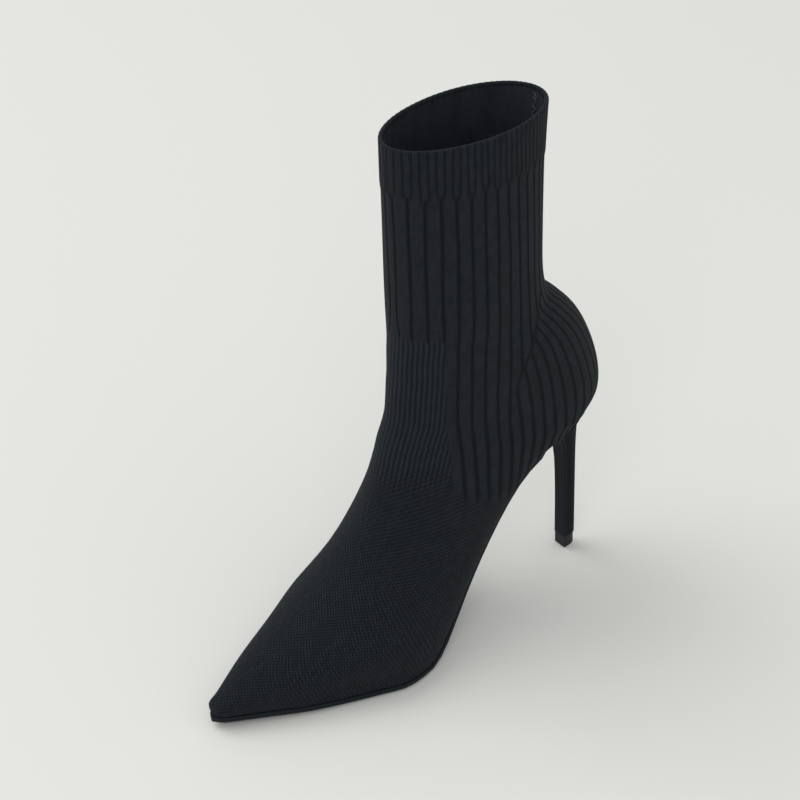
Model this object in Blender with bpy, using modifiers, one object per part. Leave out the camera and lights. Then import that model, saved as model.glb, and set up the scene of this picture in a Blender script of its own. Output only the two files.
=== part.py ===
# Knitted sock boot on a slim high heel: the right boot of a pair, empty, standing on its sole.
# Toe along +X, the wearer's left (this boot's inner side) along +Y, the floor at z = 0.
# Lengths are in metres. Along the boot, x is measured from the back of the heel seat.

import math

import bmesh
import bpy
import numpy as np

# Driving sizes
SOLE_LENGTH = 0.215
BALL_WIDTH = 0.071
HEEL_HEIGHT = 0.0935
TOE_SPRING = 0.0028
TOE_RADIUS = 0.005
SEAT_RADIUS = 0.024
SEAT_LENGTH = 0.036
INSTEP_RISE = 0.032
SHAFT_RISE = 0.1675
SHAFT_DEPTH = 0.0825
SHAFT_WIDTH = 0.057
SHAFT_SET = 0.0223
ANKLE_WIDTH = 0.057
KNIT_WALL = 0.0018
CUFF_HEIGHT = 0.023
CUFF_STEP = 0.0005
CUFF_SLOPE = 0.003
SOLE_THICKNESS = 0.0036
SOLE_MARGIN = 0.0006
SOLE_BEVEL = 0.0012
FLAP_THICKNESS = 0.0014
PAD_DEPTH = 0.0012
PAD_PROUD = 0.0005
PAD_MARGIN = 0.005
PAD_BACK = 0.560
PAD_FRONT = 0.905
PAD_RADIUS = 0.016
PAD_TIP_RADIUS = 0.003
PAD_RIM = 0.0016
BAR_WIDTH = 0.0014
BAR_STEP = 0.0003
BAR_COUNT = 9
INSOLE_THICKNESS = 0.0015
STEM_SET = 0.0022
STEM_DEPTH = 0.0066
STEM_WIDTH = 0.0080
TIP_HEIGHT = 0.0070
TIP_INSET = 0.0004
CLEARANCE = 0.0003

# Outline of the sole from the back of the seat (0) to the toe tip (1).
# arch is the height as a share of the way from the ball up to the seat, spring a share of
# TOE_SPRING, and inner and outer are shares of BALL_WIDTH to either side of the long axis.
SOLE_ROWS = [
    # along, arch, spring, inner, outer
    (0.000, 1.000, 0.00, 0.310, 0.310),
    (0.059, 0.975, 0.00, 0.310, 0.315),
    (0.100, 0.944, 0.00, 0.310, 0.320),
    (0.158, 0.870, 0.00, 0.270, 0.320),
    (0.213, 0.740, 0.00, 0.226, 0.312),
    (0.267, 0.585, 0.00, 0.218, 0.310),
    (0.326, 0.405, 0.00, 0.234, 0.316),
    (0.385, 0.235, 0.00, 0.276, 0.340),
    (0.444, 0.101, 0.00, 0.352, 0.380),
    (0.499, 0.024, 0.00, 0.438, 0.422),
    (0.545, 0.000, 0.00, 0.492, 0.458),
    (0.608, 0.000, 0.00, 0.515, 0.465),
    (0.668, 0.000, 0.00, 0.460, 0.425),
    (0.736, 0.000, 0.12, 0.395, 0.350),
    (0.820, 0.000, 0.42, 0.308, 0.246),
    (0.910, 0.000, 0.75, 0.180, 0.135),
    (1.000, 0.000, 1.00, 0.050, 0.050),
]

# Shaft, from the collar down. rise is a share of SHAFT_RISE over the seat, back is ahead of
# SHAFT_SET and depth from there to the front, both in shares of SHAFT_DEPTH.
SHAFT_ROWS = [
    # rise, back, depth, width as a share of SHAFT_WIDTH
    (1.000, -0.008, 1.012, 0.83),
    (0.865, 0.020, 0.980, 0.88),
    (0.740, 0.034, 0.962, 0.92),
    (0.630, 0.044, 0.950, 0.96),
    (0.500, 0.048, 0.945, 0.99),
]

# Ankle and heel, in sections that fan round the throat from the notch over the heel. front and
# back are shares of SHAFT_DEPTH ahead of SHAFT_SET, and the rises are shares of SHAFT_RISE.
ANKLE_ROWS = [
    # front, front_rise, back, back_rise, width as a share of ANKLE_WIDTH, widest
    (0.998, 0.420, 0.008, 0.436, 0.915, 0.44),
    (1.011, 0.367, -0.108, 0.379, 0.950, 0.40),
    (1.020, 0.308, -0.222, 0.311, 0.975, 0.36),
    (1.032, 0.267, -0.305, 0.227, 0.990, 0.33),
    (1.042, 0.223, -0.362, 0.131, 0.995, 0.31),
    (1.056, 0.173, -0.362, 0.050, 1.000, 0.30),
]

# Foot, from the heel seat to the toe. foot is where the section stands on the sole, front where
# it meets the top line between shaft (0) and toe tip (1), and top its height over the sole there,
# as a share of the instep. inner and outer are shares of BALL_WIDTH.
FOOT_ROWS = [
    # foot, front, top, inner, outer, widest
    (0.000, 0.072, 0.872, 0.410, 0.405, 0.30),
    (0.020, 0.084, 0.842, 0.405, 0.405, 0.30),
    (0.068, 0.104, 0.778, 0.395, 0.405, 0.30),
    (0.176, 0.143, 0.662, 0.375, 0.425, 0.30),
    (0.322, 0.199, 0.552, 0.380, 0.460, 0.30),
    (0.439, 0.300, 0.443, 0.450, 0.485, 0.28),
    (0.561, 0.470, 0.320, 0.528, 0.500, 0.26),
    (0.720, 0.630, 0.228, 0.390, 0.368, 0.27),
    (0.864, 0.797, 0.156, 0.245, 0.215, 0.30),
    (0.955, 0.940, 0.075, 0.126, 0.100, 0.34),
    (0.985, 0.983, 0.046, 0.084, 0.078, 0.38),
    (0.996, 0.996, 0.032, 0.052, 0.050, 0.40),
    (1.000, 1.000, 0.000, 0.000, 0.000, 0.40),
]

# Heel, from the top piece (0) up to the seat (1). back, front and width go from the stem's own
# size (0) to the seat's (1).
HEEL_ROWS = [
    # level, back, front, width
    (0.00, 0.00, 0.00, 0.00),
    (0.20, 0.00, 0.00, 0.00),
    (0.45, 0.10, 0.01, 0.01),
    (0.62, 0.22, 0.04, 0.04),
    (0.74, 0.36, 0.12, 0.12),
    (0.83, 0.52, 0.26, 0.27),
    (0.90, 0.68, 0.45, 0.50),
    (0.95, 0.83, 0.68, 0.74),
    (1.00, 1.00, 1.00, 1.00),
]

# How finely the forms are divided
SECTION_STEPS = 14
ROW_STEPS = 2
FOOT_STEPS = 3
SOLE_STEPS = 8
SOLE_STATIONS = 30
HEEL_STEPS = 10
WELD = 0.00001


def through_rows(rows, steps):
    """Rows of a smooth curve through the rows of a table, with this many steps between two."""
    rows = np.array(rows, dtype=float)
    ends = np.vstack([2 * rows[0] - rows[1], rows, 2 * rows[-1] - rows[-2]])
    curve = []
    for before, start, stop, after in zip(ends, ends[1:], ends[2:], ends[3:]):
        for t in np.arange(steps) / steps:
            bend = (2 * before - 5 * start + 4 * stop - after) * t ** 2
            bend = bend + (3 * start - before - 3 * stop + after) * t ** 3
            curve.append(start + 0.5 * ((stop - before) * t + bend))
    curve.append(rows[-1])
    return np.array(curve)


SOLE_CURVE = np.maximum(through_rows(SOLE_ROWS, SOLE_STEPS), 0.0)
SOLE_BASE = PAD_PROUD + SOLE_THICKNESS + CLEARANCE
THROAT_X = SHAFT_SET + SHAFT_DEPTH
STEM_BACK = STEM_SET - STEM_DEPTH / 2
STEM_FRONT = STEM_SET + STEM_DEPTH / 2
STEM_BASE = TIP_HEIGHT + CLEARANCE


def sole_column(x, column):
    """One column of the sole's table at a distance x from the back of the seat."""
    return float(np.interp(x / SOLE_LENGTH, SOLE_CURVE[:, 0], SOLE_CURVE[:, column]))


def sole_height(x):
    """Height of the line where the upper meets the sole."""
    arch = sole_column(x, 1) * (HEEL_HEIGHT - SOLE_BASE)
    return SOLE_BASE + arch + sole_column(x, 2) * TOE_SPRING


def round_end(distance, radius):
    """Share of the full width at a distance from a round end."""
    reach = min(max(distance / radius, 0.0), 1.0)
    return math.sqrt(1.0 - (1.0 - reach) ** 2)


def sole_edge(x, grow=0.0):
    """Half widths of the upper's lower edge at x, inner and outer, with the outline grown."""
    ends = round_end(x + grow, SEAT_RADIUS + grow)
    ends = ends * round_end(SOLE_LENGTH + grow - x, TOE_RADIUS + grow)
    return [ends * (BALL_WIDTH * sole_column(x, column) + grow) for column in (3, 4)]


def closed_rows():
    """Sections of the shaft, ankle and heel: front x and z, back x and z, half widths, widest."""
    rows = []
    for rise, back, depth, width in SHAFT_ROWS:
        level = HEEL_HEIGHT + rise * SHAFT_RISE
        back_x = SHAFT_SET + back * SHAFT_DEPTH
        half = width * SHAFT_WIDTH / 2
        rows.append((back_x + depth * SHAFT_DEPTH, level, back_x, level, half, half, 0.48))
    for front, front_rise, back, back_rise, width, widest in ANKLE_ROWS:
        half = width * ANKLE_WIDTH / 2
        rows.append((SHAFT_SET + front * SHAFT_DEPTH, HEEL_HEIGHT + front_rise * SHAFT_RISE,
                     SHAFT_SET + back * SHAFT_DEPTH, HEEL_HEIGHT + back_rise * SHAFT_RISE,
                     half, half, widest))
    return rows


def foot_rows():
    """Sections of the foot, in the same columns. Their back ends stand on the sole."""
    rows = []
    for foot, front, top, inner, outer, widest in FOOT_ROWS:
        foot_x = foot * SOLE_LENGTH
        front_x = THROAT_X + front * (SOLE_LENGTH - THROAT_X)
        front_z = sole_height(front_x) + top * (HEEL_HEIGHT + INSTEP_RISE)
        rows.append((front_x, front_z, foot_x, sole_height(foot_x),
                     inner * BALL_WIDTH, outer * BALL_WIDTH, widest))
    return rows


def with_cuff(rows):
    """The same sections with a step outward above the cuff's lower edge."""
    edge = rows[0][1] - CUFF_HEIGHT
    grow = np.array([CUFF_STEP, 0, -CUFF_STEP, 0, CUFF_STEP, CUFF_STEP, 0])
    upper, lower = [np.array([np.interp(level, rows[::-1, 1], rows[::-1, k]) for k in range(7)])
                    for level in (edge + CUFF_SLOPE / 2, edge - CUFF_SLOPE / 2)]
    above = [row + grow for row in rows if row[1] > edge + CUFF_SLOPE]
    below = [row for row in rows if row[1] < edge - CUFF_SLOPE]
    return above + [upper + grow, lower] + below


def section(row, standing):
    """Points of a section from the inner lower edge over the front to the outer lower edge."""
    front_x, front_z, back_x, back_z, inner, outer, widest = row
    edges = (0.0, 0.0)
    if standing:
        back_x = min(max(back_x, 0.0), SOLE_LENGTH)
        back_z = sole_height(back_x)
        edges = sole_edge(back_x)
    points = []
    for side, half, edge in ((1, inner, edges[0]), (-1, outer, edges[1])):
        opened = min(edge / max(half, WELD), 1.0)
        for angle in np.linspace(-math.pi / 2, math.pi / 2, SECTION_STEPS + 1)[::side]:
            rise, spread = math.sin(angle), max(math.cos(angle), 0.0)
            along = widest + (1 - widest) * rise
            reach = half * spread
            if rise < 0:
                along = widest * (1 + rise)
                rounded = edge + (half - edge) * spread
                reach = (1 - opened) * rounded + opened * (half - (half - edge) * rise ** 2)
            points.append((back_x + along * (front_x - back_x), side * reach,
                           back_z + along * (front_z - back_z)))
    del points[SECTION_STEPS]
    return points


def grid_mesh(name, grid, closed):
    """Mesh of quads through a grid of points. A closed grid joins its last column to its first."""
    work = bmesh.new()
    rows = [[work.verts.new(point) for point in row] for row in grid]
    for row, following in zip(rows, rows[1:]):
        for k in range(len(row) if closed else len(row) - 1):
            after = (k + 1) % len(row)
            work.faces.new((row[k], row[after], following[after], following[k]))
    if closed:
        for ring in (rows[0], rows[-1]):
            cap_ring(work, ring)
    bmesh.ops.remove_doubles(work, verts=work.verts, dist=WELD)
    bmesh.ops.dissolve_degenerate(work, edges=work.edges, dist=WELD)
    bmesh.ops.recalc_face_normals(work, faces=work.faces)
    mesh = bpy.data.meshes.new(name)
    work.to_mesh(mesh)
    work.free()
    return mesh


def cap_ring(work, ring):
    """Close a ring whose two halves mirror each other with strips from side to side."""
    last = len(ring) - 1
    for k in range((len(ring) - 1) // 2):
        corners = [ring[k], ring[k + 1], ring[last - k - 1], ring[last - k]]
        corners = [v for i, v in enumerate(corners) if v not in corners[:i]]
        if len(corners) > 2:
            work.faces.new(corners)


def material(name, colour, roughness, metallic=0.0):
    """A plain Principled material."""
    made = bpy.data.materials.new(name)
    made.use_nodes = True
    shader = made.node_tree.nodes["Principled BSDF"]
    shader.inputs["Base Color"].default_value = (*colour, 1.0)
    shader.inputs["Roughness"].default_value = roughness
    shader.inputs["Metallic"].default_value = metallic
    made.diffuse_color = (*colour, 1.0)
    return made


def add_object(name, mesh, finish, collection):
    """An object of this mesh and material in the collection."""
    made = bpy.data.objects.new(name, mesh)
    mesh.materials.append(finish)
    collection.objects.link(made)
    return made


def make_upper(collection):
    """Upper: one knitted tube with the cuff as a step, open at the collar and underneath."""
    closed = through_rows(closed_rows() + foot_rows()[:1], ROW_STEPS)[:-1]
    standing = through_rows(foot_rows(), FOOT_STEPS)
    grid = [section(row, False) for row in with_cuff(closed)]
    grid = grid + [section(row, True) for row in standing]
    mesh = grid_mesh("upper", grid, closed=False)
    boot = add_object("upper", mesh, material("black rib knit", (0.010, 0.012, 0.015), 0.85),
                      collection)
    mesh.shade_smooth()
    wall = boot.modifiers.new("knit wall", "SOLIDIFY")
    wall.thickness = KNIT_WALL
    wall.offset = -1
    wall.use_even_offset = True
    wall.use_rim = True
    return boot


def heel_ring(level, back, front, width):
    """One ring of the heel, from the inner breast corner round the back to the outer corner."""
    back_x = STEM_BACK + back * (-SOLE_MARGIN - STEM_BACK)
    front_x = STEM_FRONT + front * (SEAT_LENGTH - STEM_FRONT)
    ring = []
    for side, column in ((1, 0), (-1, 1)):
        half = []
        for angle in np.linspace(0, math.pi / 2, HEEL_STEPS + 1):
            seat_x = SEAT_LENGTH - (SEAT_LENGTH + SOLE_MARGIN) * math.sin(angle)
            seat = sole_edge(seat_x, SOLE_MARGIN)[column]
            stem = STEM_WIDTH / 2 * max(math.cos(angle), 0.0) ** 0.6
            x = front_x - (front_x - back_x) * math.sin(angle)
            top = sole_height(max(x, 0.0)) - CLEARANCE
            z = STEM_BASE + level * (top - STEM_BASE)
            half.append((x, side * ((1 - width) * stem + width * seat), z))
        ring = ring + half[::side]
    del ring[HEEL_STEPS]
    return ring


def heel_curve():
    """Rows of the heel's table, drawn smooth."""
    return np.clip(through_rows(HEEL_ROWS, ROW_STEPS), 0.0, 1.0)


def make_heel(collection):
    """Heel: a slim stem with a flat breast that flares into the seat."""
    mesh = grid_mesh("heel", [heel_ring(*row) for row in heel_curve()], closed=True)
    finish = material("black suede cover", (0.006, 0.007, 0.009), 0.95)
    return add_object("heel", mesh, finish, collection)


def heel_breast():
    """Points down the front of the heel from the seat, x, z and half width."""
    return np.array([heel_ring(*row)[0] for row in heel_curve()[::-1]])[:, (0, 2, 1)]


def strip_grid(path, halves, thickness, bevel):
    """Rings along a path of x and z: a strip with these half widths, laid below the path."""
    path = np.array(path)
    ahead = np.gradient(path, axis=0)
    ahead = ahead / np.linalg.norm(ahead, axis=1)[:, None]
    outward = np.stack([-ahead[:, 1], ahead[:, 0]], axis=1)
    grid = []
    for point, normal, (inner, outer), depth in zip(path, outward, halves, thickness):
        cut = bevel * abs(depth) / SOLE_THICKNESS
        ring = []
        for side, half in ((1, inner), (-1, outer)):
            narrow = max(half - cut, 0.4 * half)
            edge = [(half, 0.0), (half, 0.6 * depth), (narrow, depth)]
            ring += [(point[0] + normal[0] * drop, side * y, point[1] + normal[1] * drop)
                     for y, drop in edge[::side]]
        grid.append(ring)
    return grid


def toe_stations(start, stop, count):
    """Places along the sole from a round tip at start back to stop."""
    tip = [start - TOE_RADIUS * (1 - math.cos(a)) for a in np.linspace(0, math.pi / 2, 5)]
    return tip[:-1] + list(np.linspace(tip[-1], stop, count))


def outsole_bottom(x):
    """Height of the outsole's lower face under the forefoot."""
    return sole_height(x) - CLEARANCE - SOLE_THICKNESS


def make_outsole(collection):
    """Outsole: from the toe over the waist, then as a thin flap down the breast of the heel."""
    places = toe_stations(SOLE_LENGTH + SOLE_MARGIN, SEAT_LENGTH + CLEARANCE, SOLE_STATIONS)
    path = [(x, sole_height(x) - CLEARANCE) for x in places]
    halves = [sole_edge(x, SOLE_MARGIN) for x in places]
    breast = heel_breast()
    down = np.gradient(breast[:, :2], axis=0)
    down = down / np.linalg.norm(down, axis=1)[:, None]
    front = breast[:, :2] + CLEARANCE * np.stack([-down[:, 1], down[:, 0]], axis=1)
    path = path + [tuple(point) for point in front[1:]]
    halves = halves + [(half, half) for half in breast[1:, 2]]
    thickness = [SOLE_THICKNESS] * len(places)
    fade = np.linspace(1, 0, 5)[1:]
    flap = FLAP_THICKNESS + fade * (SOLE_THICKNESS - FLAP_THICKNESS)
    thickness = thickness + list(flap) + [FLAP_THICKNESS] * (len(breast) - 1 - len(flap))
    mesh = grid_mesh("outsole", strip_grid(path, halves, thickness, SOLE_BEVEL), closed=True)
    finish = material("grey rubber sole", (0.028, 0.030, 0.032), 0.60)
    return add_object("outsole", mesh, finish, collection)


def pad_half(x, grow):
    """Half widths of the pad's outline at x, grown by a clearance."""
    back, front = PAD_BACK * SOLE_LENGTH - grow, PAD_FRONT * SOLE_LENGTH + grow
    ends = round_end(x - back, PAD_RADIUS + grow) * round_end(front - x, PAD_TIP_RADIUS + grow)
    return [ends * (half - PAD_MARGIN + grow) for half in sole_edge(x, 0.0)]


def pad_grid(grow, drop, height):
    """Rings of the pad's form from its front tip to its round back, with the bars across it."""
    back, front = PAD_BACK * SOLE_LENGTH - grow, PAD_FRONT * SOLE_LENGTH + grow
    tip = [front - PAD_TIP_RADIUS * (1 - math.cos(a)) for a in np.linspace(0, math.pi / 2, 4)]
    heel = [back + PAD_RADIUS * (1 - math.cos(a)) for a in np.linspace(math.pi / 2, 0, 7)]
    places = [(x, 0.0) for x in tip] + [(x, 0.0) for x in heel]
    pitch = (front - back) / (BAR_COUNT + 1)
    for k in range(BAR_COUNT):
        middle = back + (k + 1) * pitch
        for offset, step in ((0.5, 0.0), (0.7, BAR_STEP), (-0.5, 0.0), (-0.7, BAR_STEP)):
            places.append((middle + offset * BAR_WIDTH, step))
    grid = []
    for x, step in sorted(places, reverse=True):
        low = outsole_bottom(x) - drop
        ring = []
        for side, half in zip((1, -1), pad_half(x, grow)):
            inside = max(half - PAD_RIM, 0.5 * half)
            edge = [(half, low + drop + height), (half, low), (inside, low),
                    (max(inside - BAR_STEP, 0.4 * half), low + step)]
            ring += [(x, side * y, z) for y, z in edge[::side]]
        grid.append(ring)
    return grid


def make_pad(collection, cutters, outsole):
    """Tread pad under the ball, let into the outsole, with straight bars across it."""
    mesh = grid_mesh("tread_pad", pad_grid(0.0, PAD_PROUD, PAD_DEPTH), closed=True)
    finish = material("grey rubber tread", (0.022, 0.024, 0.025), 0.70)
    pad = add_object("tread_pad", mesh, finish, collection)
    pocket = grid_mesh("pad_pocket", pad_grid(CLEARANCE, 2 * PAD_PROUD, PAD_DEPTH + CLEARANCE),
                       closed=True)
    cutter = add_object("pad_pocket", pocket, finish, cutters)
    cutter.hide_render = True
    cutter.display_type = "WIRE"
    cut = outsole.modifiers.new("pad pocket", "BOOLEAN")
    cut.operation = "DIFFERENCE"
    cut.solver = "EXACT"
    cut.object = cutter
    return pad


def make_insole(collection):
    """Insole: a thin board on the outsole and the heel seat, inside the upper."""
    inset = KNIT_WALL + 3 * CLEARANCE
    places = list(np.linspace(SOLE_LENGTH - 3 * TOE_RADIUS, SEAT_RADIUS, SOLE_STATIONS))
    places += [inset + (SEAT_RADIUS - inset) * (1 - math.sin(a))
               for a in np.linspace(0, math.pi / 2, 7)[1:]]
    path = [(x, sole_height(x)) for x in places]
    halves = [sole_edge(x, -inset) for x in places]
    grid = strip_grid(path, halves, [-INSOLE_THICKNESS] * len(places), 0.0)
    mesh = grid_mesh("insole", grid, closed=True)
    finish = material("black insole board", (0.012, 0.012, 0.013), 0.75)
    return add_object("insole", mesh, finish, collection)


def make_top_piece(collection):
    """Top piece: the rubber tip under the stem and the flap."""
    front_x = STEM_FRONT + CLEARANCE + FLAP_THICKNESS
    grid = []
    for z, inset in ((0.0, 2 * TIP_INSET), (TIP_INSET, TIP_INSET), (TIP_HEIGHT, TIP_INSET)):
        half = STEM_WIDTH / 2 - inset
        depth = front_x - STEM_BACK - 2 * inset
        ring = []
        for side in (1, -1):
            arc = [(front_x - inset - depth * math.sin(a), side * half * max(math.cos(a), 0) ** 0.6, z)
                   for a in np.linspace(0, math.pi / 2, HEEL_STEPS + 1)]
            ring = ring + arc[::side]
        del ring[HEEL_STEPS]
        grid.append(ring)
    mesh = grid_mesh("top_piece", grid, closed=True)
    finish = material("black rubber tip", (0.020, 0.021, 0.022), 0.65)
    return add_object("top_piece", mesh, finish, collection)


def stand_at_origin(objects):
    """Move the boot so that its box stands on the floor, centred on the origin."""
    bpy.context.view_layer.update()
    graph = bpy.context.evaluated_depsgraph_get()
    points = []
    for piece in objects:
        shape = piece.evaluated_get(graph)
        mesh = shape.to_mesh()
        points += [vertex.co[:] for vertex in mesh.vertices]
        shape.to_mesh_clear()
    low, high = np.min(points, axis=0), np.max(points, axis=0)
    return [-(low[0] + high[0]) / 2, -(low[1] + high[1]) / 2, -low[2]]


def main():
    for piece in list(bpy.data.objects):
        bpy.data.objects.remove(piece, do_unlink=True)
    boot = bpy.data.collections.new("sock boot")
    cutters = bpy.data.collections.new("cutters")
    for collection in (boot, cutters):
        bpy.context.scene.collection.children.link(collection)
    outsole = make_outsole(boot)
    pieces = [make_upper(boot), outsole, make_pad(boot, cutters, outsole), make_insole(boot),
              make_heel(boot), make_top_piece(boot)]
    place = stand_at_origin(pieces)
    for piece in pieces + list(cutters.objects):
        piece.location = place


main()
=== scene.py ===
# A knitted sock boot on a slim covered heel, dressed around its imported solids.
# Metres, +Z up, toe along +X, the inner side along +Y. Sizes of the knit pattern, of the upper's
# edges and of its seam are in millimetres.

import math

import bmesh
import bpy
import numpy as np
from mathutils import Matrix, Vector


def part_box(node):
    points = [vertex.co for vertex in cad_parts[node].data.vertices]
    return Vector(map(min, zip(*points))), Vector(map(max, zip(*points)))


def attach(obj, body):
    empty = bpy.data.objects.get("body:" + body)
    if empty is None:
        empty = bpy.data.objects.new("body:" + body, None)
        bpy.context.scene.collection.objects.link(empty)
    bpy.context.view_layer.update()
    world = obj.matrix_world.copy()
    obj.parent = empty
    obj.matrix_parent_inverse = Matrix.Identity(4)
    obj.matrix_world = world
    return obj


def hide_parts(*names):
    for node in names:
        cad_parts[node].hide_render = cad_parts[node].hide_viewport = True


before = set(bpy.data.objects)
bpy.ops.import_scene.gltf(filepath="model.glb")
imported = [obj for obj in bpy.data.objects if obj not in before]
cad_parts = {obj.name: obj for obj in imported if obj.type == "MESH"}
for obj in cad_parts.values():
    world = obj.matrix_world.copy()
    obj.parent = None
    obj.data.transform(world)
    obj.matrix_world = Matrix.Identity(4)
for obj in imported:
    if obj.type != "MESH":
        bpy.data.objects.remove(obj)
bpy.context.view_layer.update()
print("frame loaded:", sorted(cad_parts))


# Helpers

def toLinear(hexColour):  # sRGB hex to linear RGBA
    parts = [int(hexColour[i:i + 2], 16) / 255 for i in (1, 3, 5)]
    return tuple(c / 12.92 if c <= 0.04045 else ((c + 0.055) / 1.055) ** 2.4 for c in parts) + (1.0,)


def addNode(tree, kind, settings=None, links=None):  # inputs are values or other nodes' outputs
    node = tree.nodes.new(kind)
    for name, value in (settings or {}).items():
        setattr(node, name, value)
    for name, value in (links or {}).items():
        if isinstance(value, bpy.types.NodeSocket):
            tree.links.new(value, node.inputs[name])
        else:
            node.inputs[name].default_value = value
    return node


def newMaterial(name, look):
    made = bpy.data.materials.new(name)
    made.use_nodes = True
    shader = made.node_tree.nodes["Principled BSDF"]
    for socket, value in look.items():
        shader.inputs[socket].default_value = value
    return made, made.node_tree, shader


def meshPiece(name, points, faces, material, attributes=None):
    mesh = bpy.data.meshes.new(name)
    mesh.from_pydata([tuple(p) for p in points], [], faces)
    for label, vectors in (attributes or {}).items():
        layer = mesh.attributes.new(label, "FLOAT_VECTOR", "POINT")
        layer.data.foreach_set("vector", np.asarray(vectors, dtype=np.float32).ravel())
    mesh.shade_smooth()
    mesh.materials.append(material)
    made = bpy.data.objects.new(name, mesh)
    bpy.context.scene.collection.objects.link(made)
    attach(made, "root")
    return made


def smoothStep(low, high, x):
    t = np.clip((x - low) / (high - low), 0.0, 1.0)
    return t * t * (3 - 2 * t)


# Form of the knitted upper, from the same driving sizes and sections as its solid. The sections were
# fitted to the boot's outlines and then smoothed and rounded.

bootForm = {
    "soleLength": 0.215, "ballWidth": 0.071, "heelHeight": 0.0935, "toeSpring": 0.0028,
    "toeRadius": 0.005, "seatRadius": 0.024, "instepRise": 0.032, "shaftRise": 0.1675,
    "shaftDepth": 0.0825, "shaftWidth": 0.057, "shaftSet": 0.0223, "ankleWidth": 0.057,
    "soleBase": 0.0044, "soleMargin": 0.0006, "shaftWidest": 0.48,
}

soleRows = [
    # along, arch, spring, inner, outer
    (0.000, 1.000, 0.00, 0.310, 0.310),
    (0.059, 0.975, 0.00, 0.310, 0.315),
    (0.100, 0.944, 0.00, 0.310, 0.320),
    (0.158, 0.870, 0.00, 0.270, 0.320),
    (0.213, 0.740, 0.00, 0.226, 0.312),
    (0.267, 0.585, 0.00, 0.218, 0.310),
    (0.326, 0.405, 0.00, 0.234, 0.316),
    (0.385, 0.235, 0.00, 0.276, 0.340),
    (0.444, 0.101, 0.00, 0.352, 0.380),
    (0.499, 0.024, 0.00, 0.438, 0.422),
    (0.545, 0.000, 0.00, 0.492, 0.458),
    (0.608, 0.000, 0.00, 0.515, 0.465),
    (0.668, 0.000, 0.00, 0.460, 0.425),
    (0.736, 0.000, 0.12, 0.395, 0.350),
    (0.820, 0.000, 0.42, 0.308, 0.246),
    (0.910, 0.000, 0.75, 0.180, 0.135),
    (1.000, 0.000, 1.00, 0.050, 0.050),
]

shaftRows = [
    # rise, back, depth, width
    (1.000, -0.008, 1.012, 0.83),
    (0.865, 0.020, 0.980, 0.88),
    (0.740, 0.034, 0.962, 0.92),
    (0.630, 0.044, 0.950, 0.96),
    (0.500, 0.048, 0.945, 0.99),
]

ankleRows = [
    # front, frontRise, back, backRise, width, widest
    (0.998, 0.420, 0.008, 0.436, 0.915, 0.44),
    (1.011, 0.367, -0.108, 0.379, 0.950, 0.40),
    (1.020, 0.308, -0.222, 0.311, 0.975, 0.36),
    (1.032, 0.267, -0.305, 0.227, 0.990, 0.33),
    (1.042, 0.223, -0.362, 0.131, 0.995, 0.31),
    (1.056, 0.173, -0.362, 0.050, 1.000, 0.30),
]

footRows = [
    # foot, front, top, inner, outer, widest
    (0.000, 0.072, 0.872, 0.410, 0.405, 0.30),
    (0.020, 0.084, 0.842, 0.405, 0.405, 0.30),
    (0.068, 0.104, 0.778, 0.395, 0.405, 0.30),
    (0.176, 0.143, 0.662, 0.375, 0.425, 0.30),
    (0.322, 0.199, 0.552, 0.380, 0.460, 0.30),
    (0.439, 0.300, 0.443, 0.450, 0.485, 0.28),
    (0.561, 0.470, 0.320, 0.528, 0.500, 0.26),
    (0.720, 0.630, 0.228, 0.390, 0.368, 0.27),
    (0.864, 0.797, 0.156, 0.245, 0.215, 0.30),
    (0.955, 0.940, 0.075, 0.126, 0.100, 0.34),
    (0.985, 0.983, 0.046, 0.084, 0.078, 0.38),
    (0.996, 0.996, 0.032, 0.052, 0.050, 0.40),
    (1.000, 1.000, 0.000, 0.000, 0.000, 0.40),
]


# How finely the upper is divided: steps between two rows, and columns from the front line to the edge

upperGrid = {"shaftSteps": 12, "ankleSteps": 11, "waistSteps": 16, "toeSteps": 7, "waistRows": 5,
             "halfColumns": 176, "sectionSteps": 72, "soleSteps": 8}


def throughRows(rows, steps):  # smooth curve through the rows, with this many steps between two
    rows = np.array(rows, dtype=float)
    ends = np.vstack([2 * rows[0] - rows[1], rows, 2 * rows[-1] - rows[-2]])
    curve = []
    for before, start, stop, after in zip(ends, ends[1:], ends[2:], ends[3:]):
        for t in np.arange(steps) / steps:
            bend = (2 * before - 5 * start + 4 * stop - after) * t ** 2
            bend = bend + (3 * start - before - 3 * stop + after) * t ** 3
            curve.append(start + 0.5 * ((stop - before) * t + bend))
    curve.append(rows[-1])
    return np.array(curve)


soleCurve = np.maximum(throughRows(soleRows, upperGrid["soleSteps"]), 0.0)
throatX = bootForm["shaftSet"] + bootForm["shaftDepth"]


def soleColumn(x, column):
    return float(np.interp(x / bootForm["soleLength"], soleCurve[:, 0], soleCurve[:, column]))


def soleHeight(x):
    rise = soleColumn(x, 1) * (bootForm["heelHeight"] - bootForm["soleBase"])
    return bootForm["soleBase"] + rise + soleColumn(x, 2) * bootForm["toeSpring"]


def roundEnd(distance, radius):  # 0 at the end of a form, 1 where its round end is over
    reach = min(max(distance / radius, 0.0), 1.0)
    return math.sqrt(1.0 - (1.0 - reach) ** 2)


def soleEdge(x):  # from the long axis to the inner and to the outer edge
    ends = roundEnd(x, bootForm["seatRadius"])
    ends = ends * roundEnd(bootForm["soleLength"] - x, bootForm["toeRadius"])
    return [ends * (bootForm["ballWidth"] * soleColumn(x, column)) for column in (3, 4)]


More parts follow.
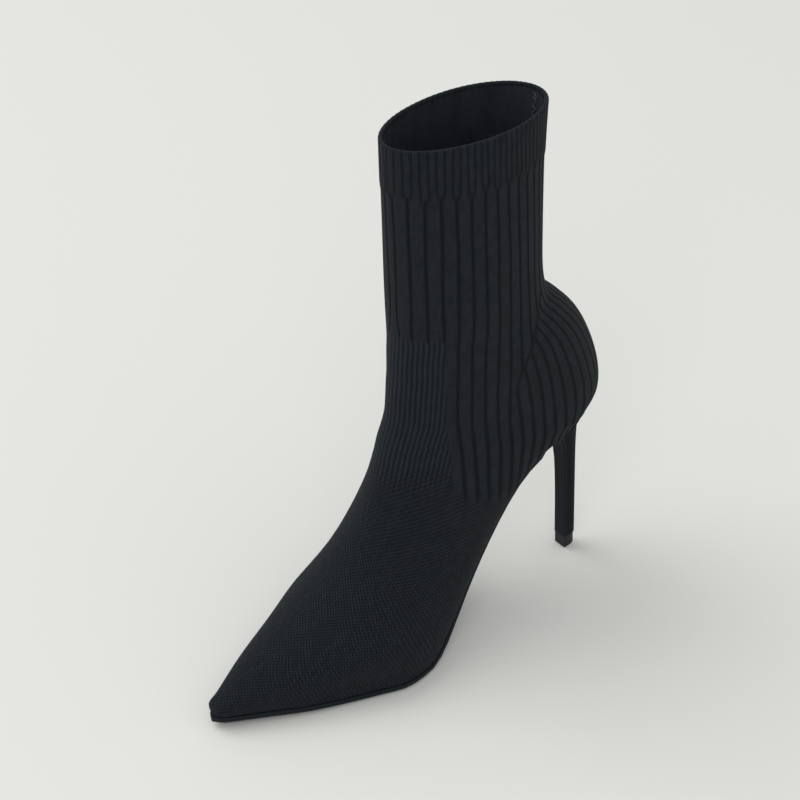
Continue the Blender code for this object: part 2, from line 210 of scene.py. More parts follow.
def closedRows():  # shaft and ankle: front, back, half widths, and where the ring is widest
    rows = []
    for rise, back, depth, width in shaftRows:
        level = bootForm["heelHeight"] + rise * bootForm["shaftRise"]
        backX = bootForm["shaftSet"] + back * bootForm["shaftDepth"]
        half = width * bootForm["shaftWidth"] / 2
        rows.append((backX + depth * bootForm["shaftDepth"], level, backX, level, half, half,
                     bootForm["shaftWidest"]))
    for front, frontRise, back, backRise, width, widest in ankleRows:
        half = width * bootForm["ankleWidth"] / 2
        rows.append((bootForm["shaftSet"] + front * bootForm["shaftDepth"],
                     bootForm["heelHeight"] + frontRise * bootForm["shaftRise"],
                     bootForm["shaftSet"] + back * bootForm["shaftDepth"],
                     bootForm["heelHeight"] + backRise * bootForm["shaftRise"], half, half, widest))
    return rows


def standingRows():  # foot: the same, with sections that stand on the sole
    rows = []
    for foot, front, top, inner, outer, widest in footRows:
        footX = foot * bootForm["soleLength"]
        frontX = throatX + front * (bootForm["soleLength"] - throatX)
        frontZ = soleHeight(frontX) + top * (bootForm["heelHeight"] + bootForm["instepRise"])
        rows.append((frontX, frontZ, footX, soleHeight(footX),
                     inner * bootForm["ballWidth"], outer * bootForm["ballWidth"], widest))
    return rows


def halfSection(row, stands, side):  # points from the top front line to the lower edge
    frontX, frontZ, backX, backZ, inner, outer, widest = row
    half = inner if side > 0 else outer
    edge = 0.0
    if stands:
        backX = min(max(backX, 0.0), bootForm["soleLength"])
        backZ = soleHeight(backX)
        edge = soleEdge(backX)[0 if side > 0 else 1]
    opened = min(edge / max(half, 1e-6), 1.0)
    angle = np.linspace(math.pi / 2, -math.pi / 2, upperGrid["sectionSteps"] + 1)
    rise, spread = np.sin(angle), np.maximum(np.cos(angle), 0.0)
    along = np.where(rise < 0, widest * (1 + rise), widest + (1 - widest) * rise)
    rounded = edge + (half - edge) * spread
    low = (1 - opened) * rounded + opened * (half - (half - edge) * rise ** 2)
    reach = np.where(rise < 0, low, half * spread)
    return np.stack([backX + along * (frontX - backX), side * reach, backZ + along * (frontZ - backZ)], 1)


def evenColumns(points):  # the same line in equal steps, and its length
    steps = np.linalg.norm(np.diff(points, axis=0), axis=1)
    lengths = np.concatenate([[0.0], np.cumsum(steps)])
    places = np.linspace(0.0, lengths[-1], upperGrid["halfColumns"] + 1)
    return np.stack([np.interp(places, lengths, points[:, k]) for k in range(3)], 1), lengths[-1]


def upperSurface():  # rows from the collar down to the toe, each across from one edge to the other
    closed = np.array(closedRows() + standingRows()[:1])
    cut = len(shaftRows) - 1
    shaft = throughRows(closed, upperGrid["shaftSteps"])[:cut * upperGrid["shaftSteps"]]
    ankle = throughRows(closed, upperGrid["ankleSteps"])[cut * upperGrid["ankleSteps"]:-1]
    cut = upperGrid["waistRows"]
    waist = throughRows(standingRows(), upperGrid["waistSteps"])[:cut * upperGrid["waistSteps"]]
    toe = throughRows(standingRows(), upperGrid["toeSteps"])[cut * upperGrid["toeSteps"]:]
    grid, spans, standing = [], [], []
    for stands, group in ((False, (*shaft, *ankle)), (True, (*waist, *toe))):
        for row in group:
            inner, outer = [evenColumns(halfSection(row, stands, side)) for side in (1, -1)]
            grid.append(np.vstack([inner[0][::-1], outer[0][1:]]))
            spans.append((inner[1], outer[1]))
            standing.append(stands)
    return np.array(grid), np.array(spans), np.array(standing)


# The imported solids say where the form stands: the outsole's toe end and the middle of the heel tip
tipLow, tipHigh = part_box("top_piece")
tipX, tipY = (tipLow.x + tipHigh.x) / 2, (tipLow.y + tipHigh.y) / 2
place = Vector((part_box("outsole")[1].x - bootForm["soleLength"] - bootForm["soleMargin"], tipY, 0.0))
skin, spans, standing = upperSurface()
skin = skin + np.array(place)
rowCount, columnCount = skin.shape[:2]
middle = upperGrid["halfColumns"]  # the column of the front line
share = np.abs(np.arange(columnCount) - middle) / middle  # 0 on the front line, 1 at either end of a row
shaftLast = (len(shaftRows) - 1) * upperGrid["shaftSteps"]
closedCount = int(np.argmax(standing))  # rows that are closed rings, before the first that stands

# The knit bridges the bends below the shaft and above the instep, so rows there are evened out,
# and the pinch in its width below the shaft more than the rest. The sizes count in rows, frontShare
# is a share of a row, and cutOff is in spreads.
bridge = {"spread": 6.0, "widthSpread": 12.0, "cutOff": 2.3, "rows": 16, "frontShare": (0.25, 0.6)}
rowAt = np.arange(rowCount)
atShaft = np.exp(-((rowAt - shaftLast) / bridge["rows"]) ** 2)[:, None] * np.ones(columnCount)
atInstep = np.exp(-((rowAt - closedCount) / bridge["rows"]) ** 2)[:, None]
atInstep = atInstep * (1 - smoothStep(*bridge["frontShare"], share))[None, :]
for spread, axes, weight in ((bridge["spread"], slice(0, 3), np.maximum(atShaft, atInstep)),
                             (bridge["widthSpread"], slice(1, 2), atShaft)):
    far = int(bridge["cutOff"] * spread)
    shifts = np.arange(-far, far + 1)
    pulls = np.exp(-0.5 * (shifts / spread) ** 2)
    evened = sum(pull * skin[np.clip(rowAt + shift, 0, rowCount - 1), :, axes]
                 for shift, pull in zip(shifts, pulls))
    skin[..., axes] += weight[..., None] * (evened / pulls.sum() - skin[..., axes])
print("upper surface:", rowCount, "rows of", columnCount)


def surfaceNormals(grid):
    along = np.gradient(grid, axis=0)
    around = np.gradient(grid, axis=1)
    normal = np.cross(along, around)
    normal /= np.maximum(np.linalg.norm(normal, axis=2), 1e-12)[..., None]
    closedRing = ~standing
    both = normal[closedRing, 0] + normal[closedRing, -1]  # a ring's two ends meet at the back
    both /= np.maximum(np.linalg.norm(both, axis=1), 1e-12)[:, None]
    normal[closedRing, 0] = both
    normal[closedRing, -1] = both
    return normal


normals = surfaceNormals(skin)
if np.mean(normals[:shaftLast, middle, 0]) < 0:
    normals = -normals
normals[-1] = (1.0, 0.0, 0.0)  # the last row is one point, the tip of the toe


# Knit pattern: wide ribs on the shaft and heel, a cuff of narrow ones, a fine front panel, mesh below

knit = {
    # the shaft's ribs: how many on half a ring, and how wide in front and at the back
    "ribCount": 17.35, "frontPitch": 7.5, "backPitch": 4.6, "firstGroove": 0.35,
    "grooveWidth": 0.50, "grooveDepth": 0.45,
    # how far a groove wavers, in ribs, over which lengths, and how that shifts from rib to rib
    "waver": 0.02, "waverLengths": (9.0, 23.0, 31.0), "waverShift": 1.7,
    # the cuff, where each groove parts into two weaker ones and a V joins the pair below: partBy is
    # how far each goes aside, in ribs, and the next two are shares of a groove's width and depth
    "cuffHeight": 24.0, "cuffStep": 0.4, "cuffBlend": 1.5, "veeLength": 3.2, "veeUneven": 1.1,
    "veeTurn": 2.4, "partBy": 0.25, "partNarrow": 0.25, "partShallow": 0.4,
    # the heel's ribs follow its round back, and below the bulge they hang straight
    "heelReference": -10.0, "heelDepth": 94.0, "heelBend": 26.0, "heelPitch": 5.8,
    "bulgeHeight": 109.0, "hang": 0.8, "hangShare": (0.04, 0.45), "heelOver": 6.0,
    # the panel in front and the heights over which it, the ribs' ends and the mesh fade
    "panelX": -13.0, "panelTop": 168.0, "panelBlend": 1.0,
    "ribFade": (-3.0, 5.0), "meshFade": (93.0, 106.0), "panelFade": (88.0, 100.0), "vampSlope": 33.0,
    # the line where the heel's ribs meet the shaft's
    "joinWidth": 0.9, "joinDepth": 0.55, "joinFlat": 0.4,
    "joinLow": (128.0, 140.0), "joinHigh": (172.0, 178.0),
    "edgeShare": 0.03,  # of a row, where the relief ends before the sole
}
joinLine = [(176.5, -65.9), (152.0, -55.5), (138.0, -48.9), (129.0, -45.0), (95.0, -45.0)]  # z, x
ribEnds = [(-60.0, 56.0), (-46.0, 68.0), (-30.0, 75.0), (-13.0, 84.0), (5.0, 100.0)]  # x, z

xMm, zMm = skin[..., 0] * 1000, skin[..., 2] * 1000
sideSpan = np.where((np.arange(columnCount) < middle)[None, :], spans[:, :1], spans[:, 1:]) * 1000
arcMm = share[None, :] * sideSpan
vampSlope = math.radians(knit["vampSlope"])
slopeMm = xMm * math.cos(vampSlope) - zMm * math.sin(vampSlope)
pitchDrop = knit["frontPitch"] - knit["backPitch"]


def ribPhase(part):  # rib number by share of the half ring, wider in front than at the back
    grown = np.log(knit["frontPitch"] / (knit["frontPitch"] - pitchDrop * part))
    return knit["ribCount"] * grown / math.log(knit["frontPitch"] / knit["backPitch"])


phaseShaft = np.broadcast_to(ribPhase(share)[None, :], xMm.shape)
phaseSide = np.interp(-xMm, -xMm[shaftLast, middle:], ribPhase(share[middle:]))
joinX = np.interp(-zMm, [-z for z, _ in joinLine], [x for _, x in joinLine])

# Ribs of the heel, by how far a point lies between a line inside the boot and the boot's back
backColumn = zMm[:closedCount, 0], xMm[:closedCount, 0]
order = np.argsort(backColumn[0])
backX = np.interp(zMm, backColumn[0][order], backColumn[1][order])
heelShare = (xMm - knit["heelReference"]) / (backX - knit["heelReference"])
hanging = smoothStep(*knit["hangShare"], 1 - heelShare) * (zMm < knit["bulgeHeight"])
backX = backX + knit["hang"] * hanging * (backColumn[1].min() - backX)
heelShare = (xMm - knit["heelReference"]) / (backX - knit["heelReference"])
fromBack = np.maximum(1 - heelShare, 0.0) * knit["heelDepth"]
bend = knit["heelBend"]  # radius of the heel's round back, where a rib's pitch runs across the boot
heelArc = bend * np.arccos(1 - np.minimum(fromBack, bend) / bend) + np.maximum(fromBack - bend, 0.0)
phaseHeel = heelArc / knit["heelPitch"] + 0.5 + knit["firstGroove"]

inHeel = (xMm < joinX) & (zMm < joinLine[0][0] + knit["heelOver"])
inHeel = inHeel & (np.arange(rowCount)[:, None] > shaftLast)
phase = np.where(np.arange(rowCount)[:, None] <= shaftLast, phaseShaft, phaseSide)
phase = np.where(inHeel, phaseHeel, phase)
pitchMm = np.where(inHeel, knit["heelPitch"], knit["frontPitch"] - pitchDrop * share)
short, tall, deep = knit["waverLengths"]
wavering = np.sin(zMm / short + knit["waverShift"] * np.floor(phase)) + np.sin(zMm / tall + xMm / deep)
phase = phase + knit["waver"] * wavering

cuffDown = zMm[0, middle] - zMm
uneven = knit["veeUneven"] * np.sin(knit["veeTurn"] * np.floor(phase - knit["firstGroove"] + 0.5))
veeTop = knit["cuffHeight"] - knit["veeLength"]
parted = 1.0 - smoothStep(veeTop, knit["cuffHeight"], cuffDown + uneven)
offset = np.abs((phase - knit["firstGroove"] + 0.5) % 1.0 - 0.5)
distance = np.abs(offset - knit["partBy"] * parted) * pitchMm
narrow = knit["grooveWidth"] * (1 - knit["partNarrow"] * parted)
groove = np.exp(-(distance / narrow) ** 2) * (1 - knit["partShallow"] * parted)

endZ = np.interp(xMm, [x for x, _ in ribEnds], [z for _, z in ribEnds])
ribOn = smoothStep(*knit["ribFade"], zMm - endZ)
blend = knit["panelBlend"]
panel = smoothStep(-blend, blend, xMm - knit["panelX"])
panel = panel * (1 - smoothStep(-blend, blend, zMm - knit["panelTop"]))
ribOn = ribOn * (1 - panel)
groove = groove * ribOn
meshOn = (1 - ribOn) * (1 - smoothStep(*knit["meshFade"], zMm))
panelOn = panel * smoothStep(*knit["panelFade"], zMm)
joinOn = smoothStep(*knit["joinLow"], zMm) * (1 - smoothStep(*knit["joinHigh"], zMm))
join = np.exp(-((xMm - joinX) / knit["joinWidth"]) ** 2) * joinOn
groove = np.maximum(groove * (1 - knit["joinFlat"] * join), knit["joinDepth"] * join)

# Soft creases set where the ankle bends: x and z of two ends, depth and width in mm.
# Each is deepest halfway and keeps some depth at its ends: a sine without its first and last part.
creases = [
    (2.0, 116.0, -18.0, 106.0, 0.20, 6.0),
    (-76.0, 166.0, -60.0, 160.0, 0.30, 4.0),
    (-16.0, 196.0, -52.0, 186.0, 0.20, 9.0),
]
creaseStart, creaseRun = 0.15, 0.7
sink = np.zeros_like(xMm)
for x0, z0, x1, z1, depth, width in creases:
    length = math.hypot(x1 - x0, z1 - z0)
    t = np.clip(((xMm - x0) * (x1 - x0) + (zMm - z0) * (z1 - z0)) / length ** 2, 0, 1)
    aside = np.hypot(xMm - x0 - t * (x1 - x0), zMm - z0 - t * (z1 - z0))
    sink += depth * np.exp(-(aside / width) ** 2) * np.sin(math.pi * (creaseStart + creaseRun * t))

cuffEnd = knit["cuffHeight"] - knit["cuffBlend"], knit["cuffHeight"] + knit["cuffBlend"]
height = knit["cuffStep"] * (1 - smoothStep(*cuffEnd, cuffDown)) - knit["grooveDepth"] * groove - sink
edgeFade = np.where(standing[:, None], smoothStep(0.0, knit["edgeShare"], 1 - share)[None, :], 1.0)
outer = skin + normals * (height * edgeFade)[..., None] * 0.001
print("knit pattern drawn")


# Materials

# Polyester and viscose yarn, knitted on a flat machine: matt loops with a faint bloom at grazing
# angles. Painted shade makes it dark between the ribs, where the light doesn't reach, and in the holes;
# painted highlight lightens the fine ribs' ridges, and the stitches get painted highlight and shade
knitLook = {
    # the tones run from where painted highlight reaches, over the yarn, to the painted shade deep in a groove
    "outside": ("#242a31", "#12161a", "#080a0e"),  # rib tops, yarn, depth of a groove
    "inside": ("#2b2e35", "#22252b", "#15171b"),
    # lengths in mm around, along the vamp and up the shaft, with 9.0 where a pattern does not use that
    # direction. The holes lie in offset rows 1.4 mm apart. They and the stitches are drawn coarser than
    # real ones, which would not show.
    "holes": (2.0, 1.9, 9.0), "stitches": (1.2, 9.0, 1.1), "fineRibs": (2.3, 9.0, 9.0),
    # what a groove, a hole and a fine rib add to the painted shade (below zero, painted highlight) and to the
    # height, then a stitch
    "shadeAndHighlight": (0.62, 0.7, -0.16), "stitchShadeAndHighlight": -0.18,
    "raise": (-0.30, -0.5, 0.28), "stitchRaise": 0.16, "bumpStrength": 0.9, "bumpMm": 0.7,
    # faint clouds, as many along the boot as across and up it, and where a hole and the yarn's tone begin
    "clouds": 55.0, "cloudDarken": 0.32, "holeFrom": 0.1, "yarnStop": 0.25,
}


def knitMaterial(name, tones):
    made, tree, shader = newMaterial(name, {
        "Roughness": 0.85, "Sheen Weight": 0.015, "Sheen Roughness": 0.5, "Specular IOR Level": 0.12})
    knitPlace = addNode(tree, "ShaderNodeAttribute", {"attribute_name": "knitPlace"}).outputs["Vector"]
    marks = addNode(tree, "ShaderNodeAttribute", {"attribute_name": "knitMarks"}).outputs["Vector"]
    groove, mesh, panel = addNode(tree, "ShaderNodeSeparateXYZ", {}, {0: marks}).outputs
    waves = {}
    for pattern in ("holes", "stitches", "fineRibs"):
        turns = tuple(2 * math.pi / length for length in knitLook[pattern])
        turned = addNode(tree, "ShaderNodeVectorMath", {"operation": "MULTIPLY"}, {0: knitPlace, 1: turns})
        wave = addNode(tree, "ShaderNodeVectorMath", {"operation": "COSINE"}, {0: turned.outputs[0]})
        waves[pattern] = addNode(tree, "ShaderNodeSeparateXYZ", {}, {0: wave.outputs[0]}).outputs
    product = addNode(tree, "ShaderNodeMath", {"operation": "MULTIPLY"},
                      {0: waves["holes"][0], 1: waves["holes"][1]}).outputs[0]
    dots = addNode(tree, "ShaderNodeMapRange", {}, {
        "Value": product, "From Min": knitLook["holeFrom"], "From Max": 1.0}).outputs["Result"]
    holes = addNode(tree, "ShaderNodeMath", {"operation": "MULTIPLY"}, {0: dots, 1: mesh}).outputs[0]
    stitches = addNode(tree, "ShaderNodeMath", {"operation": "MULTIPLY"},
                       {0: waves["stitches"][0], 1: waves["stitches"][2]}).outputs[0]
    fineRibs = addNode(tree, "ShaderNodeMath", {"operation": "MULTIPLY"},
                       {0: waves["fineRibs"][0], 1: panel}).outputs[0]
    cloud = addNode(tree, "ShaderNodeTexNoise", {}, {"Scale": knitLook["clouds"], "Detail": 3.0})
    uneven = addNode(tree, "ShaderNodeMapRange", {}, {
        "Value": cloud.outputs["Fac"], "To Min": 0.0, "To Max": knitLook["cloudDarken"]})

    # painted shade darkens the grooves and holes, painted highlight lightens the fine ribs, and the stitches
    # get both
    shown = addNode(tree, "ShaderNodeCombineXYZ", {}, {0: groove, 1: holes, 2: fineRibs}).outputs[0]
    shade = addNode(tree, "ShaderNodeVectorMath", {"operation": "DOT_PRODUCT"},
                    {0: shown, 1: knitLook["shadeAndHighlight"]})
    dark = addNode(tree, "ShaderNodeMath", {"operation": "ADD"},
                   {0: shade.outputs["Value"], 1: uneven.outputs["Result"]}).outputs[0]
    dark = addNode(tree, "ShaderNodeMath", {"operation": "MULTIPLY_ADD"},
                   {0: stitches, 1: knitLook["stitchShadeAndHighlight"], 2: dark})
    ramp = addNode(tree, "ShaderNodeValToRGB", {}, {"Fac": dark.outputs[0]})
    ramp.color_ramp.elements[0].color = toLinear(tones[0])
    ramp.color_ramp.elements[1].color = toLinear(tones[2])
    ramp.color_ramp.elements.new(knitLook["yarnStop"]).color = toLinear(tones[1])
    tree.links.new(ramp.outputs["Color"], shader.inputs["Base Color"])

    raised = addNode(tree, "ShaderNodeVectorMath", {"operation": "DOT_PRODUCT"},
                     {0: shown, 1: knitLook["raise"]})
    relief = addNode(tree, "ShaderNodeMath", {"operation": "MULTIPLY_ADD"},
                     {0: stitches, 1: knitLook["stitchRaise"], 2: raised.outputs["Value"]})
    bump = addNode(tree, "ShaderNodeBump", {}, {
        "Strength": knitLook["bumpStrength"], "Distance": knitLook["bumpMm"] * 0.001,
        "Height": relief.outputs[0]})
    tree.links.new(bump.outputs["Normal"], shader.inputs["Normal"])
    return made


def addGrain(tree, shader, coordinates, grainsPerMm, depthMm):  # fine bumps all over a surface
    grain = addNode(tree, "ShaderNodeTexNoise", {}, {
        "Vector": coordinates, "Scale": grainsPerMm * 1000, "Detail": 4.0})
    bump = addNode(tree, "ShaderNodeBump", {}, {
        "Strength": 0.5, "Distance": depthMm * 0.001, "Height": grain.outputs["Fac"]})
    tree.links.new(bump.outputs["Normal"], shader.inputs["Normal"])


def grainMaterial(name, look, colours, grainsPerMm, depthMm):  # two near tones in patches 22 mm wide
    made, tree, shader = newMaterial(name, look)
    objectPlace = addNode(tree, "ShaderNodeTexCoord").outputs["Object"]
    patches = addNode(tree, "ShaderNodeTexNoise", {}, {"Vector": objectPlace, "Scale": 45.0, "Detail": 2.0})
    mixed = addNode(tree, "ShaderNodeValToRGB", {}, {"Fac": patches.outputs["Fac"]})
    for stop, position, colour in zip(mixed.color_ramp.elements, (0.3, 0.7), colours):
        stop.position = position
        stop.color = toLinear(colour)
    tree.links.new(mixed.outputs["Color"], shader.inputs["Base Color"])
    addGrain(tree, shader, objectPlace, grainsPerMm, depthMm)
    return made


# Suede, the flesh side of a hide buffed to a short nap: no shine, and a slight bloom at the edges
suede = grainMaterial("black suede heel cover", {
    "Roughness": 0.95, "Sheen Weight": 0.03, "Specular IOR Level": 0.1}, ("#0f1216", "#14181c"), 2.6, 0.3)
# Hard rubber pressed in a steel mould: smooth, with a dull shine
tipRubber = grainMaterial("matt rubber heel tip", {
    "Roughness": 0.55, "Specular IOR Level": 0.3}, ("#101214", "#17191b"), 1.5, 0.2)
# Fibre board pressed flat, with black cloth glued on: flat and matt
board = grainMaterial("cloth covered board", {
    "Roughness": 0.9, "Specular IOR Level": 0.1}, ("#0e0f12", "#131417"), 1.5, 0.3)
# Polyester thread, twisted: matt, and paler than the knit
thread = grainMaterial("grey seam thread", {"Roughness": 0.8}, ("#3a3d41", "#4b4e52"), 3.0, 0.2)
knitOutside = knitMaterial("matt black rib knit", knitLook["outside"])
knitInside = knitMaterial("inside of the rib knit", knitLook["inside"])

# Rubber moulded in one sheet: grey and matt underneath; its edge, under the knit's overhang, is painted dark
# as painted shade.
# The tone turns between these z values of the normal.
soleLook = {"under": "#2b2d2f", "edge": "#161b20", "turn": (-0.75, -0.35)}


def soleMaterial():
    made, tree, shader = newMaterial("matt moulded rubber", {"Roughness": 0.65, "Specular IOR Level": 0.12})
    normal = addNode(tree, "ShaderNodeNewGeometry").outputs["Normal"]
    upward = addNode(tree, "ShaderNodeSeparateXYZ", {}, {0: normal}).outputs["Z"]
    turned = addNode(tree, "ShaderNodeMapRange", {}, {
        "Value": upward, "From Min": soleLook["turn"][0], "From Max": soleLook["turn"][1]})
    # faces turned down keep the rubber's grey, sideways faces take the edge's painted shade
    tone = addNode(tree, "ShaderNodeValToRGB", {}, {"Fac": turned.outputs["Result"]})
    tone.color_ramp.elements[0].color = toLinear(soleLook["under"])
    tone.color_ramp.elements[1].color = toLinear(soleLook["edge"])
    tree.links.new(tone.outputs["Color"], shader.inputs["Base Color"])
    objectPlace = addNode(tree, "ShaderNodeTexCoord").outputs["Object"]
    addGrain(tree, shader, objectPlace, 1.8, 0.2)
    return made


# The same rubber from a mould with hatching cut into it: fine slanting lines all over the pad. Their
# colour is painted shade in the hatch grooves (low) and painted light on the ridges (high).
# Blender's bands repeat every 2 pi / 20 of a unit, so the pitch gives the scale.
treadLook = {"pitchMm": 0.98, "slant": 40, "depthMm": 0.3, "low": "#1a1c1e", "high": "#2a2c2e"}


def treadMaterial():
    made, tree, shader = newMaterial("hatched moulded rubber", {
        "Roughness": 0.65, "Specular IOR Level": 0.3})
    objectPlace = addNode(tree, "ShaderNodeTexCoord").outputs["Object"]
    turned = addNode(tree, "ShaderNodeMapping", {}, {
        "Vector": objectPlace, "Rotation": (0.0, 0.0, math.radians(treadLook["slant"]))})
    lines = addNode(tree, "ShaderNodeTexWave", {"wave_type": "BANDS", "bands_direction": "X"}, {
        "Vector": turned.outputs["Vector"], "Scale": 2 * math.pi / 20 / (treadLook["pitchMm"] * 0.001)})
    # painted shade in the hatch grooves, painted light on their ridges
    colour = addNode(tree, "ShaderNodeValToRGB", {}, {"Fac": lines.outputs["Fac"]})
    colour.color_ramp.elements[0].color = toLinear(treadLook["low"])
    colour.color_ramp.elements[1].color = toLinear(treadLook["high"])
    tree.links.new(colour.outputs["Color"], shader.inputs["Base Color"])
    bump = addNode(tree, "ShaderNodeBump", {}, {
        "Strength": 0.5, "Distance": treadLook["depthMm"] * 0.001, "Height": lines.outputs["Fac"]})
    tree.links.new(bump.outputs["Normal"], shader.inputs["Normal"])
    return made


finishes = {"outsole": soleMaterial(), "heel": suede, "top_piece": tipRubber, "insole": board,
            "tread_pad": treadMaterial()}
for node, finish in finishes.items():
    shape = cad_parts[node]
    shape.data.materials.clear()
    shape.data.materials.append(finish)
print("materials made and set")


# The glue between the heel's breast and the sole's flap: a copy of the breast's face made thick.
# sideways and forward are limits of a face's normal, and faces under the least area are left out.

glue = {"thicknessMm": 0.24, "clearMm": 0.03, "sideways": 0.25, "forward": 0.35, "leastArea": 1e-9}
breast = bmesh.new()
breast.from_mesh(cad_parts["heel"].data)
others = [face for face in breast.faces
          if abs(face.normal.y) > glue["sideways"] or face.normal.x < glue["forward"]
          or face.calc_area() < glue["leastArea"]]
bmesh.ops.delete(breast, context="FACES", geom=others)
for vertex in breast.verts:
    vertex.co += vertex.link_faces[0].normal * glue["clearMm"] * 0.001
bmesh.ops.solidify(breast, geom=list(breast.faces), thickness=-glue["thicknessMm"] * 0.001)
breast.verts.index_update()
glueLine = meshPiece("breast_glue", [v.co.copy() for v in breast.verts],
                     [tuple(v.index for v in face.verts) for face in breast.faces], suede)
breast.free()
print("glue line made:", len(glueLine.data.polygons), "faces")


# The knitted upper: rolled rim, outside and a tucked edge in one piece, and its inside

edge = {
    "wall": 1.8, "rimRadius": 0.95, "rimSteps": 9, "tuck": (2.4, 1.0),  # tuck: down from the rim, inside
    "rimBelow": 2.2, "rimGroove": 0.35,  # where the outside takes over, and how strongly ribs show on the rim
    "rowStep": 3, "columnStep": 4, "insideRibs": 60.0, "insideGroove": 0.5,  # the inside is coarser
}


def rimRows():  # from inside the collar over the rolled rim to the outside
    n = normals[0].copy()
    n[:, 2] = 0.0
    n /= np.linalg.norm(n, axis=1)[:, None]
    radius = edge["rimRadius"] * 0.001
    centre = outer[0] - n * radius
    centre[:, 2] -= radius
    rows = []
    for down in edge["tuck"]:
        row = centre - n * radius
        row[:, 2] -= down * 0.001
        rows.append(row)
    for angle in np.linspace(math.pi, 0.0, edge["rimSteps"]):
        row = centre + n * radius * math.cos(angle)
        row[:, 2] += radius * math.sin(angle)
        rows.append(row)
    return rows


rim = rimRows()
firstBelow = int(np.argmax(zMm[:, middle] < zMm[0, middle] - edge["rimBelow"]))
sheetRows = np.array(rim + list(outer[firstBelow:]))


def padded(values, fill=None):  # values for the rim's rows, then those of the sheet
    head = values[firstBelow:firstBelow + 1] if fill is None else np.full((1, columnCount), fill)
    return np.vstack([np.repeat(head, len(rim), axis=0), values[firstBelow:]])


def sheetFaces(count, width):
    return [(i * width + k, i * width + k + 1, (i + 1) * width + k + 1, (i + 1) * width + k)
            for i in range(count - 1) for k in range(width - 1)]


grooveShown = padded(groove)
grooveShown[:len(rim) - 1] *= edge["rimGroove"]
faces = sheetFaces(len(sheetRows), columnCount)
upper = meshPiece("knit_upper", sheetRows.reshape(-1, 3), faces, knitOutside, {
    "knitPlace": np.stack([padded(arcMm), padded(slopeMm), padded(zMm)], axis=-1),
    "knitMarks": np.stack([grooveShown, padded(meshOn, 0.0), padded(panelOn, 0.0)], axis=-1)})
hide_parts("upper")

coarse = (slice(1, None, edge["rowStep"]), slice(None, None, edge["columnStep"]))
lining = (skin - normals * edge["wall"] * 0.001)[coarse]
none = np.zeros_like(arcMm)
insideGroove = edge["insideGroove"] * groove * (cuffDown < edge["insideRibs"])
inside = meshPiece("knit_inside", lining.reshape(-1, 3), sheetFaces(*lining.shape[:2]), knitInside, {
    "knitPlace": np.stack([arcMm, slopeMm, zMm], axis=-1)[coarse],
    "knitMarks": np.stack([insideGroove, none, none], axis=-1)[coarse]})

# The back seam's zigzag stitches, on the inside of the collar, each a short rod
seam = {"count": 15, "pitch": 1.5, "radius": 0.22, "lean": 0.9, "first": 3.5, "sides": 6}
sides = seam["sides"]
seamPoints, seamFaces = [], []
for k in range(seam["count"]):
    down = cuffDown[:shaftLast, 0] - cuffDown[0, 0]
    row = int(np.argmin(np.abs(down - seam["first"] - k * seam["pitch"])))
    base = skin[row, 0] - normals[row, 0] * (edge["wall"] + seam["radius"]) * 0.001
    lean = seam["lean"] * (1 if k % 2 else -1)
    ring = [len(seamPoints) + m for m in range(sides)]
    for end in (-1, 1):
        for angle in np.linspace(0, 2 * math.pi, sides, endpoint=False):
            off = np.array([math.cos(angle) * seam["radius"], end * lean, end * seam["pitch"] / 2])
            off = off + np.array([0.0, 0.0, math.sin(angle) * seam["radius"]])
            seamPoints.append(base + off * 0.001)
    for here, after in zip(ring, ring[1:] + ring[:1]):
        seamFaces.append((here, after, after + sides, here + sides))
    seamFaces += [tuple(ring[::-1]), tuple(m + sides for m in ring)]
stitching = meshPiece("seam_stitches", seamPoints, seamFaces, thread)
print("upper made:", len(upper.data.polygons), "faces")


# Floor, light and camera

# A matt painted studio floor, whose edge only low views show, and the even light of a white room
stageLook = {"floor": "#d8d8d3", "size": 6.0, "room": "#f4f5f6", "roomStrength": 0.82}
floorMesh = bpy.data.meshes.new("floor")
reach = stageLook["size"] / 2
floorMesh.from_pydata([(-reach, -reach, 0), (reach, -reach, 0), (reach, reach, 0), (-reach, reach, 0)],
                      [], [(0, 1, 2, 3)])
floorMesh.materials.append(newMaterial("matt pale floor", {
    "Roughness": 0.9, "Base Color": toLinear(stageLook["floor"])})[0])
floor = bpy.data.objects.new("floor", floorMesh)
bpy.context.scene.collection.objects.link(floor)

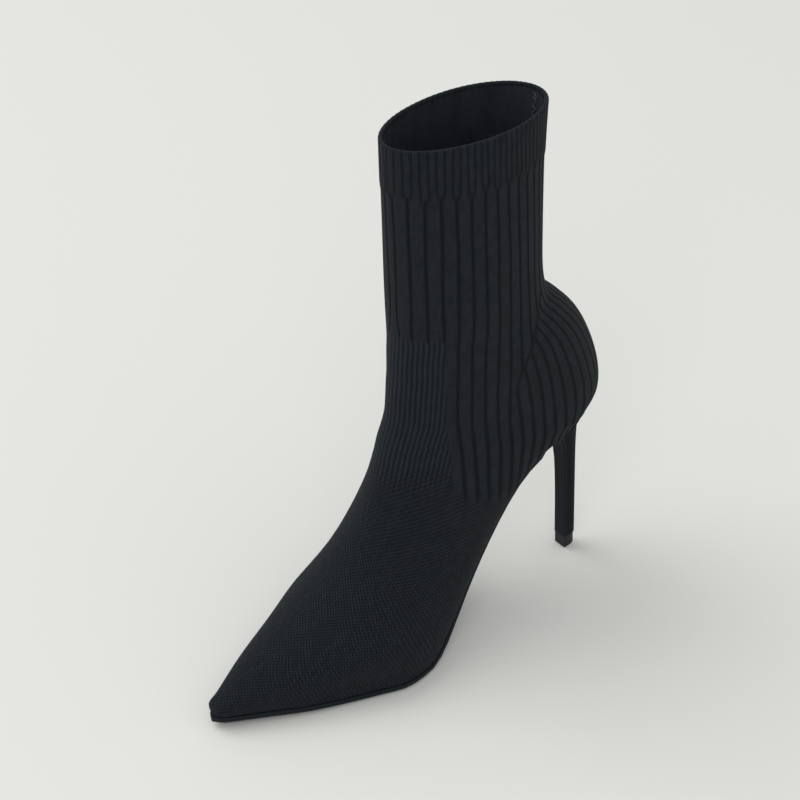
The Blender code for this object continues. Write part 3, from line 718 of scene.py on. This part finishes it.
lights = [
    # name, position, size, watts
    ("key_light", (0.75, -1.25, 2.3), 2.0, 28.0),
    ("fill_light", (1.4, 1.6, 1.8), 1.6, 16.0),
]
lightTarget = Vector((0.0, 0.0, 0.1))
for name, position, size, watts in lights:
    lamp = bpy.data.lights.new(name, "AREA")
    lamp.energy, lamp.size = watts, size
    lampObject = bpy.data.objects.new(name, lamp)
    lampObject.location = position
    lampObject.rotation_euler = (lightTarget - Vector(position)).to_track_quat("-Z", "Y").to_euler()
    bpy.context.scene.collection.objects.link(lampObject)

world = bpy.data.worlds.new("soft studio")
world.use_nodes = True
background = world.node_tree.nodes["Background"]
background.inputs["Color"].default_value = toLinear(stageLook["room"])
background.inputs["Strength"].default_value = stageLook["roomStrength"]
bpy.context.scene.world = world
bpy.context.scene.view_settings.view_transform = "Standard"
print("floor and light made")

# The photo's viewing angle, and where its middle looks at the floor from the heel tip. bootMiddle is in
# pixels of the photo's frame, and closer says how many times nearer the view frames the boot.
view = {
    "azimuth": 140.28, "elevation": 37.21, "distance": 1.144, "focalPixels": 1681.0,
    "aim": (-0.0110, -0.0512), "framePixels": 800.0, "sensor": 36.0,
    "bootMiddle": (310.0, 334.0), "closer": 1.3,
}
aim = Vector((tipX + view["aim"][0], tipY + view["aim"][1], 0.0))
turn, lift = math.radians(view["azimuth"]), math.radians(view["elevation"])
away = Vector((math.sin(turn) * math.cos(lift), -math.cos(turn) * math.cos(lift), math.sin(lift)))
cameraData = bpy.data.cameras.new("camera")
cameraData.sensor_width = view["sensor"]
cameraData.lens = view["closer"] * view["focalPixels"] * view["sensor"] / view["framePixels"]
camera = bpy.data.objects.new("camera", cameraData)
camera.location = aim + away * view["distance"]
facing = (-away).to_track_quat("-Z", "Y")
half = view["framePixels"] / 2
toBoot = facing @ Vector((view["bootMiddle"][0] - half, half - view["bootMiddle"][1], -view["focalPixels"]))
camera.rotation_euler = ((-away).rotation_difference(toBoot) @ facing).to_euler()
bpy.context.scene.collection.objects.link(camera)
bpy.context.scene.camera = camera
print("camera set")
